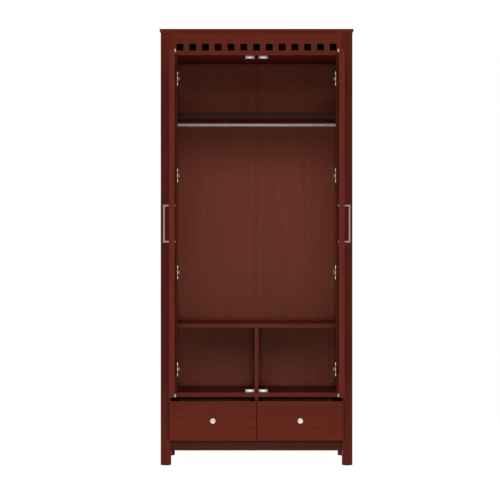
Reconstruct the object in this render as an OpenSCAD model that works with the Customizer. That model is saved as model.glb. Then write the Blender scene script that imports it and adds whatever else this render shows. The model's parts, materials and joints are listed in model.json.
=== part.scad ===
// Two-door wardrobe with two drawers under it. Both doors stand open at right angles.
// Millimetres. X runs from left to right, Y from front to back, Z up.
// The origin lies on the floor, under the middle of the box round the open wardrobe.

/* [Cabinet] */
// Height from the floor to the top
cabinet_height = 2000; // [1650:10:2400]
// Width over the corner posts
cabinet_width = 878; // [720:2:1060]
// Depth over the corner posts
cabinet_depth = 520; // [430:2:640]
// Width of a corner post, seen from the front
post_width = 47; // [39:1:57]
// Depth of a corner post, seen from the side
post_depth = 47; // [39:1:57]
// Thickness of the side panels, divider, ceiling and base boards
board_thick = 18; // [15:1:22]
// Thickness of the nylon glides under the posts
glide_thick = 3; // [2:0.5:6]

/* [Top and header] */
// Thickness of the top board
top_thick = 22; // [18:1:27]
// Height of the square part of the top board's edge
top_edge = 9; // [7:0.5:11]
// How far the top board stands out past the posts at the front and sides
top_overhang = 5; // [4:0.5:12]
// Height of the pierced header rail
header_height = 98; // [80:1:120]
// Thickness of the header rail
header_thick = 20; // [16:1:25]
// Number of square openings in the header
vent_count = 13; // [7:2:13]
// Side of each square opening in the header
vent_size = 31; // [24:1:38]
// Distance from one opening to the next
vent_pitch = 58.5; // [45:0.5:60]
// Height of the openings' lower edge over the header's lower edge
vent_rise = 21.5; // [19:0.5:26]

/* [Shelves and rod] */
// Thickness of the shelves
shelf_thick = 20; // [16:1:25]
// Free height of the two lower compartments
lower_space = 295; // [240:1:360]
// Free height over the hat shelf
hat_space = 257; // [200:1:310]
// Diameter of the hanging rod
rod_diameter = 25; // [20:1:32]
// Distance from the hat shelf down to the rod's centre
rod_drop = 25.5; // [20:0.5:60]

/* [Base and back] */
// Free height under the apron
leg_clear = 69; // [50:1:90]
// Height of the front apron
apron_height = 48; // [40:1:60]
// How far the apron lies behind the posts' front faces
apron_setback = 10; // [5:1:16]
// Thickness of the back panels
back_thick = 6; // [4:0.5:8]
// Distance from the posts' back faces to the back panels
back_inset = 38; // [30:1:40]
// Height of the rails across the back
rear_rail_height = 60; // [50:1:72]

/* [Doors] */
// Thickness of a door's frame
door_thick = 25; // [22:0.5:30]
// Gap between a door and the post beside it
hinge_gap = 4; // [3:0.25:5]
// Gap between the two closed doors
centre_gap = 3; // [2:0.5:5]
// Gap over and under a door
door_end_gap = 2; // [1.5:0.5:4]
// Width of a door's stiles and top rail
stile_width = 72; // [60:1:90]
// Width of a door's bottom rail
bottom_rail_width = 96; // [80:1:120]
// Thickness of a door's panel
panel_thick = 8; // [6:0.5:9]
// Distance from a door's ends to its outer hinges
hinge_inset = 105; // [80:1:130]
// Number of hinges on a door
hinge_count = 4; // [3:1:4]

/* [Handles and knobs] */
// Distance between a door handle's two screws
handle_spacing = 160; // [96:1:224]
// Side of the handle's square bar
handle_bar = 8; // [7:0.5:12]
// How far a handle stands out from its door
handle_reach = 27; // [24:1:38]
// Height of the handles' centres over the floor
handle_height = 1105; // [950:5:1250]
// Distance from a door's free edge to the handle's centre
handle_inset = 40; // [28:1:50]
// Diameter of a drawer knob
knob_diameter = 27.5; // [24:0.5:38]
// How far a drawer knob stands out
knob_reach = 25; // [20:0.5:32]
// Height of a drawer knob over the middle of its drawer front
knob_rise = 2; // [-10:1:10]

/* [Drawers] */
// Height of a drawer front
drawer_front_height = 180; // [165:1:220]
// Thickness of a drawer front
drawer_front_thick = 20; // [16:1:25]
// Free height between the drawer fronts and the bottom shelf
drawer_top_gap = 18; // [10:1:25]
// How far a drawer front laps over the post beside it
front_lap = 5.5; // [3:0.5:10]
// Height of a drawer's box
drawer_box_height = 140; // [116:1:150]
// Thickness of a drawer box's boards
drawer_board = 12; // [10:0.5:15]
// Free depth behind a drawer's box
drawer_rear_gap = 56; // [40:1:70]

/* [Hidden] */
$fn = 48;

// Colours
stained = [0.36, 0.15, 0.10];
stained_dark = [0.26, 0.11, 0.08];
stained_warm = [0.42, 0.20, 0.13];
pale_wood = [0.72, 0.58, 0.40];
nickel = [0.62, 0.57, 0.54];
steel = [0.75, 0.75, 0.76];
plastic = [0.86, 0.86, 0.84];

// Clearances
fit_gap = 0.1;       // glued or pushed fits, on each side
pin_gap = 0.05;      // a pin that turns in an eye, radial
pin_seat = 0.02;     // a pin held in a cup's wall, radial
groove_gap = 0.3;    // at the bottom of a groove
cut = 1;             // how far a cutter runs past a face

// Main planes of the cabinet, measured from the posts' front faces and the floor
outer_x = cabinet_width / 2;
inner_x = outer_x - post_width;
top_under = cabinet_height - top_thick;
header_low = top_under - header_height;
apron_top = leg_clear + apron_height;
drawer_front_top = apron_top + drawer_front_height;
bottom_shelf_low = drawer_front_top + drawer_top_gap;
bottom_shelf_top = bottom_shelf_low + shelf_thick;
middle_shelf_low = bottom_shelf_top + lower_space;
hat_shelf_top = header_low - hat_space;
hat_shelf_low = hat_shelf_top - shelf_thick;
back_face = cabinet_depth - back_inset;
back_front = back_face - back_thick;
rear_post_front = cabinet_depth - post_depth;

// Side panel's tongues and the back panels' grooves
tongue_thick = 6;
tongue_reach = 8;
back_groove = 6;
back_split = 1;

// Hinge, placed from its pin. A closed door's outer face lies at the posts' front faces.
// u runs from a post's inner face towards the middle, v from the posts' front faces back.
pin_below_face = 10;
pin_v = door_thick - pin_below_face;
pin_u = hinge_gap + pin_v;
pin_radius = 1.5;
cup_radius = 17.5;
cup_wall = 1;
cup_inner_radius = cup_radius - fit_gap - cup_wall;
cup_depth = 15;
cup_beside_pin = 5.5;
cup_u = pin_u + cup_beside_pin;
// The pin ends inside the cup's wall, where the wall is nearest
pin_half = sqrt(pow(cup_radius - fit_gap, 2) - pow(cup_beside_pin + pin_radius, 2));
rim_radius = 18.5;
rim_thick = 2;
wing_width = 14;
wing_height = 70;
wing_screw = 26;
eye_radius = 3.5;
strap_thick = 3;
riser_beside_pin = 16;
riser_thick = 3.5;
riser_u = pin_u + riser_beside_pin;
arm_half = 6.5;
arm_wall = 1.5;
eye_half = 6;
sweep_gap = 1.5;
corner_sweep = norm([pin_u - hinge_gap, door_thick - pin_v]);
arm_v = pin_v + corner_sweep + sweep_gap;
arm_length = 42;
arm_height = 13;
arm_nose = 6;
plate_thick = 3;
plate_from = arm_v + 8;
plate_length = 40;
plate_half = 9;
plate_wing = 26;
plate_wing_depth = 16;
plate_screw = 18;
arm_screw_v = arm_v + 30;
// Rounding of a door's outer arris, so that it clears the post as it turns
arris_clear = 0.5;
arris = pin_v - (hinge_gap - arris_clear) / (sqrt(2) - 1);

// Doors
door_low = bottom_shelf_top + door_end_gap;
door_high = header_low - door_end_gap;
door_height = door_high - door_low;
door_free = inner_x - centre_gap / 2;
door_open = 90;
panel_v = (door_thick - panel_thick) / 2;
panel_tongue = 9;
hinge_step = (door_height - 2 * hinge_inset) / (hinge_count - 1);
hinge_heights = [for (i = [0 : hinge_count - 1]) door_low + hinge_inset + i * hinge_step];

// Catches and keepers
keeper_proud = 5;
keeper_width = 40;
keeper_height = 13;
keeper_edge = 2;
keeper_end = 2;
keeper_recess = 2.5;
catch_gap = 0.3;
catch_width = 41;
catch_height = 13;
catch_depth = 16;
catch_beside_divider = 1.3;
catch_from_centre = board_thick / 2 + catch_beside_divider;
catch_front = door_thick + keeper_proud + catch_gap;
magnet_width = 22;
magnet_height = 8;
magnet_depth = 9;
pole_thick = 1.5;
catch_screw_side = 16;
catch_screw_recess = 6;
shelf_clear = 2;
// Shelves end behind the keepers and behind the corner a door sweeps as it turns
shelf_front = ceil(max(door_thick + keeper_proud + shelf_clear, pin_v + corner_sweep + sweep_gap));

// Hanging rod
rod_radius = rod_diameter / 2;
rod_y = (shelf_front + back_front) / 2;
rod_z = hat_shelf_low - rod_drop;
socket_flange = 3;
socket_wall = 2.5;
socket_length = 15;
socket_screw_side = rod_radius + socket_wall + 5.5;
socket_flange_radius = socket_screw_side + 5;

// Dowels between the cross pieces and the sides
dowel_radius = 4;
dowel_in_board = 18;
dowel_in_side = 12;
dowel_edge = 12;
side_dowel_front = post_depth + 45;
side_dowel_back = rear_post_front - 60;
board_heights = [
    header_low + board_thick / 2,
    hat_shelf_low + shelf_thick / 2,
    middle_shelf_low + shelf_thick / 2,
    bottom_shelf_low + shelf_thick / 2,
    apron_top - board_thick / 2
];
apron_y = apron_setback + board_thick / 2;
rear_rail_y = back_face + board_thick / 2;
dowel_places = concat(
    [for (z = board_heights) for (y = [side_dowel_front, side_dowel_back]) [y, z]],
    [for (z = [header_low + dowel_edge, top_under - dowel_edge]) [header_thick / 2, z]],
    [for (z = [leg_clear + dowel_edge, apron_top - dowel_edge]) [apron_y, z]],
    [for (z = [dowel_edge, rear_rail_height - dowel_edge]) [rear_rail_y, leg_clear + z]],
    [for (z = [dowel_edge, rear_rail_height - dowel_edge]) [rear_rail_y, top_under - z]]
);

// Screws
screw_radius = 1.75;
screw_head = 3.5;
screw_head_high = 2;
bolt_radius = 2;
bolt_head = 4;
bolt_head_high = 2.2;

// Drawers, right-hand one
slide_thick = 12.7;
slide_sheet = 1.2;
slide_half = 22.5;
middle_half = 18;
runner_half = 14;
slide_front = 6;
front_gap = 1;
bay_low_x = board_thick / 2;
box_low_x = bay_low_x + slide_thick;
box_high_x = inner_x - slide_thick;
front_low_x = centre_gap / 2;
front_high_x = inner_x + front_lap;
drawer_middle_x = (front_low_x + front_high_x) / 2;
box_low_z = apron_top + (drawer_front_height - drawer_box_height) / 2 - 2;
box_high_z = box_low_z + drawer_box_height;
slide_z = box_low_z + drawer_box_height / 2;
box_end = back_front - drawer_rear_gap;
bottom_thick = 6;
bottom_rise = 10;
bottom_groove = 6;
knob_z = apron_top + drawer_front_height / 2 + knob_rise;
front_face = -front_gap - drawer_front_thick;
front_screw_side = 60;
knob_neck = 7;
knob_foot = 9;
knob_dimple_radius = 40;
knob_dimple_depth = 2.2;

// The whole object's box reaches from the open doors' free edges to the posts' backs
door_reach = door_free - pin_u - pin_v;
front_y = (door_reach - cabinet_depth) / 2;

// ---- Helpers ----

// A rectangular board between two limits on each axis
module board(x, y, z) {
    translate([x[0], y[0], z[0]])
        cube([x[1] - x[0], y[1] - y[0], z[1] - z[0]]);
}

// From the cabinet's own depths, with 0 at the posts' front faces, to the object's frame
module in_frame() {
    translate([0, front_y, 0])
        children();
}

module mirror_pair() {
    children();
    mirror([1, 0, 0])
        children();
}

// From u and v at the left post to the cabinet's X and Y
module left_wall() {
    translate([-inner_x, 0, 0])
        children();
}

module both_walls() {
    mirror_pair()
        left_wall()
            children();
}

// A closed left door, turned to where it stands open
module left_door() {
    in_frame()
        left_wall()
            translate([pin_u, pin_v, 0])
                rotate([0, 0, -door_open])
                    translate([-pin_u, -pin_v, 0])
                        children();
}

module right_door() {
    mirror([1, 0, 0])
        left_door()
            children();
}

module right_drawer() {
    in_frame()
        children();
}

module left_drawer() {
    mirror([1, 0, 0])
        right_drawer()
            children();
}

// A profile drawn in X and Z, run from one depth to another
module along_depth(from, to) {
    translate([0, to, 0])
        rotate([90, 0, 0])
            linear_extrude(to - from)
                children();
}

// A screw whose head rests on the plane z = 0 and whose shank points up
module screw(length) {
    translate([0, 0, -screw_head_high])
        cylinder(r = screw_head, h = screw_head_high);
    cylinder(r = screw_radius, h = length);
}

module screw_hole(length) {
    cylinder(r = screw_radius + fit_gap, h = length + groove_gap);
}

module bolt(length) {
    translate([0, 0, -bolt_head_high])
        cylinder(r = bolt_head, h = bolt_head_high);
    cylinder(r = bolt_radius, h = length);
}

module bolt_hole(length) {
    cylinder(r = bolt_radius + fit_gap, h = length + groove_gap);
}

// ---- Dowels ----

module dowel_shapes(gap) {
    both_walls()
        for (place = dowel_places)
            translate([-dowel_in_side - gap, place[0], place[1]])
                rotate([0, 90, 0])
                    cylinder(r = dowel_radius + gap, h = dowel_in_board + dowel_in_side + 2 * gap);
}

// A board between the sides with its dowel holes
module doweled_board(x, y, z) {
    difference() {
        board(x, y, z);
        dowel_shapes(fit_gap);
    }
}

// ---- Places of the screws ----

socket_screw_length = 14;
plate_screw_length = 14;
arm_screw_length = plate_thick + arm_height - 1;
catch_screw_length = 14;
wing_screw_length = 14;
keeper_screw_length = 14;
bolt_grip = 8;

module socket_screws() {
    both_walls()
        for (side = [-1, 1])
            translate([socket_flange, rod_y + side * socket_screw_side, rod_z])
                rotate([0, -90, 0])
                    children();
}

module plate_screws() {
    both_walls()
        for (z = hinge_heights)
            for (side = [-1, 1])
                translate([plate_thick, plate_from + plate_length / 2, z + side * plate_screw])
                    rotate([0, -90, 0])
                        children();
}

module arm_screws() {
    both_walls()
        for (z = hinge_heights)
            translate([plate_thick + arm_height, arm_screw_v, z])
                rotate([0, -90, 0])
                    children();
}

// Catches: two under the ceiling, two on the bottom shelf, each written from its fixing face up
module catches() {
    for (place = [[header_low, 180], [bottom_shelf_top, 0]])
        mirror_pair()
            translate([catch_from_centre + catch_width / 2, catch_front, place[0]])
                rotate([0, place[1], 0])
                    children();
}

module catch_screws() {
    catches()
        for (side = [-1, 1])
            translate([side * catch_screw_side, catch_depth / 2, catch_height - catch_screw_recess])
                rotate([180, 0, 0])
                    children();
}

// ---- Cabinet ----

module front_posts() {
    color(stained)
        in_frame()
            difference() {
                mirror_pair()
                    board([inner_x, outer_x], [0, post_depth], [glide_thick, top_under]);
                side_panel_slots();
                dowel_shapes(fit_gap);
                glide_pins(pin_gap);
                plate_screws()
                    screw_hole(plate_screw_length);
            }
}

module rear_posts() {
    color(stained)
        in_frame()
            difference() {
                mirror_pair()
                    board([inner_x, outer_x], [rear_post_front, cabinet_depth], [glide_thick, top_under]);
                side_panel_slots();
                mirror_pair()
                    board([inner_x - cut, inner_x + back_groove + groove_gap],
                          [back_front - fit_gap, back_face + fit_gap],
                          [leg_clear - groove_gap, top_under + cut]);
                dowel_shapes(fit_gap);
                glide_pins(pin_gap);
            }
}

// Grooves in all four posts for the side panels' tongues
module side_panel_slots() {
    mirror_pair()
        board([inner_x + board_thick - tongue_thick - fit_gap, inner_x + board_thick + fit_gap],
              [post_depth - tongue_reach - groove_gap, rear_post_front + tongue_reach + groove_gap],
              [leg_clear - groove_gap, top_under + cut]);
}

module right_side_board() {
    difference() {
        union() {
            board([inner_x, inner_x + board_thick], [post_depth, rear_post_front], [leg_clear, top_under]);
            board([inner_x + board_thick - tongue_thick, inner_x + board_thick],
                  [post_depth - tongue_reach, rear_post_front + tongue_reach],
                  [leg_clear, top_under]);
        }
        dowel_shapes(fit_gap);
        socket_screws()
            screw_hole(socket_screw_length);
        plate_screws()
            screw_hole(plate_screw_length);
    }
}

module left_side_panel() {
    color(stained)
        in_frame()
            mirror([1, 0, 0])
                right_side_board();
}

module right_side_panel() {
    color(stained)
        in_frame()
            right_side_board();
}

// Under its square edge the top board has a cove that ends at the posts' faces
module top_panel() {
    cove_high = top_thick - top_edge;
    cove_radius = (pow(top_overhang, 2) + pow(cove_high, 2)) / (2 * top_overhang);
    color(stained)
        in_frame()
            difference() {
                board([-outer_x - top_overhang, outer_x + top_overhang],
                      [-top_overhang, cabinet_depth],
                      [top_under, cabinet_height]);
                intersection() {
                    union() {
                        translate([-cabinet_width, -cove_radius, top_under])
                            rotate([0, 90, 0])
                                cylinder(r = cove_radius, h = 2 * cabinet_width);
                        mirror_pair()
                            translate([outer_x + cove_radius, -cabinet_depth, top_under])
                                rotate([-90, 0, 0])
                                    cylinder(r = cove_radius, h = 3 * cabinet_depth);
                    }
                    board([-2 * cabinet_width, 2 * cabinet_width],
                          [-cabinet_depth, 2 * cabinet_depth],
                          [top_under - cut, cabinet_height - top_edge]);
                }
            }
}

module header_rail() {
    color(stained)
        in_frame()
            difference() {
                doweled_board([-inner_x, inner_x], [0, header_thick], [header_low, top_under]);
                for (i = [0 : vent_count - 1])
                    translate([(i - (vent_count - 1) / 2) * vent_pitch, 0, header_low + vent_rise])
                        board([-vent_size / 2, vent_size / 2], [-cut, header_thick + cut], [0, vent_size]);
            }
}

module ceiling_panel() {
    color(stained_dark)
        in_frame()
            difference() {
                doweled_board([-inner_x, inner_x],
                              [header_thick, back_front],
                              [header_low, header_low + board_thick]);
                catch_screws()
                    screw_hole(catch_screw_length);
            }
}

module hat_shelf() {
    color(stained)
        in_frame()
            doweled_board([-inner_x, inner_x], [shelf_front, back_front], [hat_shelf_low, hat_shelf_top]);
}

module middle_shelf() {
    color(stained)
        in_frame()
            doweled_board([-inner_x, inner_x],
                          [shelf_front, back_front],
                          [middle_shelf_low, middle_shelf_low + shelf_thick]);
}

module bottom_shelf() {
    color(stained)
        in_frame()
            difference() {
                doweled_board([-inner_x, inner_x], [0, back_front], [bottom_shelf_low, bottom_shelf_top]);
                catch_screws()
                    screw_hole(catch_screw_length);
            }
}

module lower_divider() {
    color(stained)
        in_frame()
            board([-board_thick / 2, board_thick / 2],
                  [shelf_front, back_front],
                  [bottom_shelf_top, middle_shelf_low]);
}

module drawer_partition() {
    color(stained_dark)
        in_frame()
            board([-board_thick / 2, board_thick / 2],
                  [shelf_clear, back_front],
                  [apron_top, bottom_shelf_low]);
}

module base_panel() {
    color(stained_dark)
        in_frame()
            doweled_board([-inner_x, inner_x],
                          [apron_setback + board_thick, back_front],
                          [apron_top - board_thick, apron_top]);
}

module front_apron() {
    color(stained_dark)
        in_frame()
            doweled_board([-inner_x, inner_x],
                          [apron_setback, apron_setback + board_thick],
                          [leg_clear, apron_top]);
}

// Two rails across the back and a batten behind the joint of the back panels
module rear_rails() {
    color(stained_dark)
        in_frame() {
            for (z = [leg_clear, top_under - rear_rail_height])
                doweled_board([-inner_x, inner_x],
                              [back_face, back_face + board_thick],
                              [z, z + rear_rail_height]);
            board([-rear_rail_height / 2, rear_rail_height / 2],
                  [back_face, back_face + board_thick],
                  [leg_clear + rear_rail_height + fit_gap, top_under - rear_rail_height - fit_gap]);
        }
}

module back_panels() {
    color(stained_warm)
        in_frame()
            mirror_pair()
                board([back_split / 2, inner_x + back_groove],
                      [back_front, back_face],
                      [leg_clear, top_under]);
}

module hanging_rod() {
    color(nickel)
        in_frame()
            translate([socket_flange - inner_x, rod_y, rod_z])
                rotate([0, 90, 0])
                    cylinder(r = rod_radius, h = 2 * (inner_x - socket_flange));
}

module rod_sockets() {
    color(steel)
        in_frame()
            difference() {
                both_walls()
                    translate([0, rod_y, rod_z])
                        rotate([0, 90, 0]) {
                            cylinder(r = socket_flange_radius, h = socket_flange);
                            cylinder(r = rod_radius + fit_gap + socket_wall,
                                     h = socket_flange + socket_length);
                        }
                both_walls()
                    translate([socket_flange, rod_y, rod_z])
                        rotate([0, 90, 0])
                            cylinder(r = rod_radius + fit_gap, h = socket_length + cut);
                socket_screws()
                    translate([0, 0, -cut])
                        screw_hole(socket_screw_length);
            }
}

// One hinge arm: an eye on the pin, a gooseneck out of the cup, and a channel back along the side
module hinge_arm() {
    difference() {
        union() {
            translate([pin_u, pin_v, -eye_half])
                cylinder(r = eye_radius, h = 2 * eye_half);
            board([pin_u, riser_u + riser_thick], [pin_v, pin_v + strap_thick], [-eye_half, eye_half]);
            board([riser_u, riser_u + riser_thick], [pin_v, arm_v + strap_thick], [-eye_half, eye_half]);
            board([plate_thick + arm_height - strap_thick, riser_u + riser_thick],
                  [arm_v, arm_v + strap_thick],
                  [-eye_half, eye_half]);
            board([plate_thick + arm_height - strap_thick, plate_thick + arm_height],
                  [arm_v, arm_v + arm_length],
                  [-arm_half, arm_half]);
            for (z = [-arm_half, arm_half - arm_wall])
                translate([0, 0, z])
                    linear_extrude(arm_wall)
                        arm_side();
        }
        translate([pin_u, pin_v, -eye_half - cut])
            cylinder(r = pin_radius + pin_gap, h = 2 * (eye_half + cut));
        translate([0, arm_screw_v, 0])
            rotate([0, 90, 0])
                cylinder(r = bolt_radius + fit_gap, h = 2 * arm_height);
    }
}

// The outline of an arm's side wall, from the plate out to the gooseneck's nose
module arm_side() {
    nose_u = riser_u + riser_thick + 2.5;
    polygon([
        [plate_thick, arm_v],
        [riser_u + 1, arm_v],
        [riser_u + 1, arm_v - arm_nose],
        [nose_u, arm_v - arm_nose],
        [nose_u, arm_v + 4],
        [plate_thick + arm_height, arm_v + 27],
        [plate_thick + arm_height, arm_v + arm_length],
        [plate_thick, arm_v + arm_length]
    ]);
}

module hinge_arms() {
    color(steel)
        in_frame()
            both_walls()
                for (z = hinge_heights)
                    translate([0, 0, z])
                        hinge_arm();
}

module hinge_plates() {
    wing_from = plate_from + (plate_length - plate_wing_depth) / 2;
    color(steel)
        in_frame()
            difference() {
                both_walls()
                    for (z = hinge_heights) {
                        board([0, plate_thick],
                              [plate_from, plate_from + plate_length],
                              [z - plate_half, z + plate_half]);
                        board([0, plate_thick],
                              [wing_from, wing_from + plate_wing_depth],
                              [z - plate_wing, z + plate_wing]);
                    }
                plate_screws()
                    translate([0, 0, -cut])
                        screw_hole(plate_screw_length);
                arm_screws()
                    bolt_hole(arm_screw_length);
            }
}

module catch_bodies() {
    color(plastic)
        in_frame()
            difference() {
                catches()
                    board([-catch_width / 2, catch_width / 2], [0, catch_depth], [0, catch_height]);
                catches()
                    catch_magnet(fit_gap);
                catch_screws() {
                    screw_hole(catch_screw_length);
                    translate([0, 0, -catch_height])
                        cylinder(r = screw_head + 2 * fit_gap, h = catch_height);
                }
            }
}

// A magnet between two steel pole plates, let into the front of a catch
module catch_magnet(gap) {
    middle = catch_height / 2;
    board([-magnet_width / 2 - gap, magnet_width / 2 + gap],
          [-gap, magnet_depth + gap],
          [middle - magnet_height / 2 - gap, middle + magnet_height / 2 + gap]);
}

module catch_magnets() {
    color(steel)
        in_frame()
            difference() {
                catches()
                    catch_magnet(0);
                catches()
                    board([-magnet_width / 2 - cut, magnet_width / 2 + cut],
                          [-cut, fit_gap],
                          [catch_height / 2 - magnet_height / 2 + pole_thick,
                           catch_height / 2 + magnet_height / 2 - pole_thick]);
            }
}

module glide_pins(gap) {
    mirror_pair()
        for (y = [post_depth / 2, cabinet_depth - post_depth / 2])
            translate([outer_x - post_width / 2, y, glide_thick - gap])
                cylinder(r = screw_radius + gap, h = 15 + 2 * gap);
}

module floor_glides() {
    color(plastic)
        in_frame() {
            mirror_pair()
                for (y = [post_depth / 2, cabinet_depth - post_depth / 2])
                    translate([outer_x - post_width / 2, y, 0])
                        cylinder(r = 14, h = glide_thick);
            glide_pins(0);
        }
}

module dowels() {
    color(pale_wood)
        in_frame()
            dowel_shapes(0);
}

module cabinet_screws() {
    color(steel)
        in_frame() {
            socket_screws()
                screw(socket_screw_length);
            plate_screws()
                screw(plate_screw_length);
            arm_screws()
                bolt(arm_screw_length);
            catch_screws()
                screw(catch_screw_length);
        }
}

// ---- Doors, drawn closed ----

module hinge_stile() {
    difference() {
        translate([hinge_gap, 0, door_low])
            linear_extrude(door_height) {
                translate([arris, arris])
                    circle(r = arris);
                translate([arris, 0])
                    square([stile_width - arris, door_thick]);
                translate([0, arris])
                    square([arris, door_thick - arris]);
            }
        board([hinge_gap + stile_width - panel_tongue - groove_gap, hinge_gap + stile_width + cut],
              [panel_v - fit_gap, panel_v + panel_thick + fit_gap],
              [door_low - cut, door_high + cut]);
        for (z = hinge_heights)
            translate([cup_u, door_thick + cut, z])
                rotate([90, 0, 0])
                    cylinder(r = cup_radius, h = cup_depth + cut);
        wing_screws()
            screw_hole(wing_screw_length);
    }
}

module latch_stile() {
    difference() {
        board([door_free - stile_width, door_free], [0, door_thick], [door_low, door_high]);
        board([door_free - stile_width - cut, door_free - stile_width + panel_tongue + groove_gap],
              [panel_v - fit_gap, panel_v + panel_thick + fit_gap],
              [door_low - cut, door_high + cut]);
        handle_bolts()
            translate([0, 0, -cut])
                bolt_hole(door_thick + 2 * cut);
        keeper_screws()
            screw_hole(keeper_screw_length);
    }
}

// Rails with stub tenons in the stiles' grooves, and a groove for the panel
module door_rails() {
    left_x = hinge_gap + stile_width;
    right_x = door_free - stile_width;
    difference() {
        for (z = [[door_low, door_low + bottom_rail_width], [door_high - stile_width, door_high]]) {
            board([left_x, right_x], [0, door_thick], z);
            board([left_x - panel_tongue, right_x + panel_tongue], [panel_v, panel_v + panel_thick], z);
        }
        board([left_x - panel_tongue - cut, right_x + panel_tongue + cut],
              [panel_v - fit_gap, panel_v + panel_thick + fit_gap],
              [door_low + bottom_rail_width - panel_tongue - groove_gap,
               door_high - stile_width + panel_tongue + groove_gap]);
    }
}

module door_panel() {
    board([hinge_gap + stile_width - panel_tongue, door_free - stile_width + panel_tongue],
          [panel_v, panel_v + panel_thick],
          [door_low + bottom_rail_width - panel_tongue, door_high - stile_width + panel_tongue]);
}

module hinge_cups() {
    difference() {
        for (z = hinge_heights)
            translate([cup_u, door_thick, z])
                rotate([90, 0, 0]) {
                    cylinder(r = cup_radius - fit_gap, h = cup_depth - fit_gap);
                    translate([0, 0, -rim_thick])
                        linear_extrude(rim_thick) {
                            circle(r = rim_radius);
                            square([wing_width, wing_height - wing_width], center = true);
                            for (side = [-1, 1])
                                translate([0, side * (wing_height - wing_width) / 2])
                                    circle(d = wing_width);
                        }
                }
        for (z = hinge_heights)
            translate([cup_u, door_thick + rim_thick + cut, z])
                rotate([90, 0, 0])
                    cylinder(r = cup_inner_radius, h = cup_depth + rim_thick + cut - cup_wall - fit_gap);
        for (z = hinge_heights)
            translate([pin_u, pin_v, z - cup_radius])
                cylinder(r = pin_radius + pin_seat, h = 2 * cup_radius);
        wing_screws()
            translate([0, 0, -cut])
                screw_hole(wing_screw_length);
    }
}

module hinge_pins() {
    for (z = hinge_heights)
        translate([pin_u, pin_v, z - pin_half])
            cylinder(r = pin_radius, h = 2 * pin_half);
}

module wing_screws() {
    for (z = hinge_heights)
        for (side = [-1, 1])
            translate([cup_u, door_thick + rim_thick, z + side * wing_screw])
                rotate([90, 0, 0])
                    children();
}

handle_x = door_free - handle_inset;

module handle_bolts() {
    for (side = [-1, 1])
        translate([handle_x, door_thick, handle_height + side * handle_spacing / 2])
            rotate([90, 0, 0])
                children();
}

module handle() {
    half = handle_bar / 2;
    difference() {
        union() {
            board([handle_x - half, handle_x + half],
                  [-handle_reach, handle_bar - handle_reach],
                  [handle_height - handle_spacing / 2 - half, handle_height + handle_spacing / 2 + half]);
            for (side = [-1, 1])
                translate([handle_x, 0, handle_height + side * handle_spacing / 2])
                    board([-half, half], [-handle_reach, 0], [-half, half]);
        }
        handle_bolts()
            bolt_hole(door_thick + bolt_grip);
    }
}

module keeper_screws() {
    for (z = [door_low + keeper_end + keeper_height / 2, door_high - keeper_end - keeper_height / 2])
        translate([door_free - keeper_edge - keeper_width / 2, door_thick + keeper_proud - keeper_recess, z])
            rotate([90, 0, 0])
                children();
}

module keepers() {
    difference() {
        for (z = [door_low + keeper_end, door_high - keeper_end - keeper_height])
            board([door_free - keeper_edge - keeper_width, door_free - keeper_edge],
                  [door_thick, door_thick + keeper_proud],
                  [z, z + keeper_height]);
        keeper_screws() {
            screw_hole(keeper_screw_length);
            translate([0, 0, -keeper_recess - cut])
                cylinder(r = screw_head + 2 * fit_gap, h = keeper_recess + cut);
        }
    }
}

module door_screws() {
    wing_screws()
        screw(wing_screw_length);
    handle_bolts()
        bolt(door_thick + bolt_grip);
    keeper_screws()
        screw(keeper_screw_length);
}

// ---- Drawers, drawn on the right ----

// One member of a slide: a channel of thin sheet, its web at the low or the high side
module slide_channel(low, high, half, web_low) {
    shift = web_low ? slide_sheet : -cut;
    difference() {
        translate([low, -half])
            square([high - low, 2 * half]);
        translate([low + shift, slide_sheet - half])
            square([high - low - slide_sheet + cut, 2 * (half - slide_sheet)]);
    }
}

// A member on both sides of a drawer
module slide_members(from, to, low, high, half, web_low) {
    along_depth(from, to) {
        translate([bay_low_x, slide_z])
            slide_channel(low, high, half, web_low);
        translate([inner_x, slide_z])
            mirror([1, 0])
                slide_channel(low, high, half, web_low);
    }
}

module drawer_rails() {
    color(steel)
        in_frame()
            mirror_pair()
                slide_members(slide_front, box_end, 0, 9.5, slide_half, true);
}

module slide_middles() {
    slide_members(slide_front, box_end, 3, 10, middle_half, true);
}

module drawer_runners() {
    slide_members(slide_front, box_end, 5.4, slide_thick, runner_half, false);
}

module drawer_front() {
    difference() {
        board([front_low_x, front_high_x], [front_face, -front_gap], [apron_top, drawer_front_top]);
        drawer_bolts()
            bolt_hole(drawer_board + drawer_front_thick - 4);
        knob_bolt()
            bolt_hole(drawer_board + drawer_front_thick + cut);
    }
}

// The groove for the bottom, cut in the sides and the ends
module bottom_groove_shape() {
    z = box_low_z + bottom_rise;
    reach = bottom_groove + groove_gap;
    board([box_low_x + drawer_board - reach, box_high_x - drawer_board + reach],
          [drawer_board - front_gap - reach, box_end - drawer_board + reach],
          [z - fit_gap, z + bottom_thick + fit_gap]);
}

module drawer_sides() {
    difference() {
        for (x = [box_low_x, box_high_x - drawer_board])
            board([x, x + drawer_board], [-front_gap, box_end], [box_low_z, box_high_z]);
        bottom_groove_shape();
    }
}

module drawer_ends() {
    difference() {
        for (y = [-front_gap, box_end - drawer_board])
            board([box_low_x + drawer_board, box_high_x - drawer_board],
                  [y, y + drawer_board],
                  [box_low_z, box_high_z]);
        bottom_groove_shape();
        drawer_bolts()
            bolt_hole(drawer_board + drawer_front_thick - 4);
        knob_bolt()
            bolt_hole(drawer_board + drawer_front_thick + cut);
    }
}

module drawer_bottom() {
    z = box_low_z + bottom_rise;
    board([box_low_x + drawer_board - bottom_groove, box_high_x - drawer_board + bottom_groove],
          [drawer_board - front_gap - bottom_groove, box_end - drawer_board + bottom_groove],
          [z, z + bottom_thick]);
}

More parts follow.
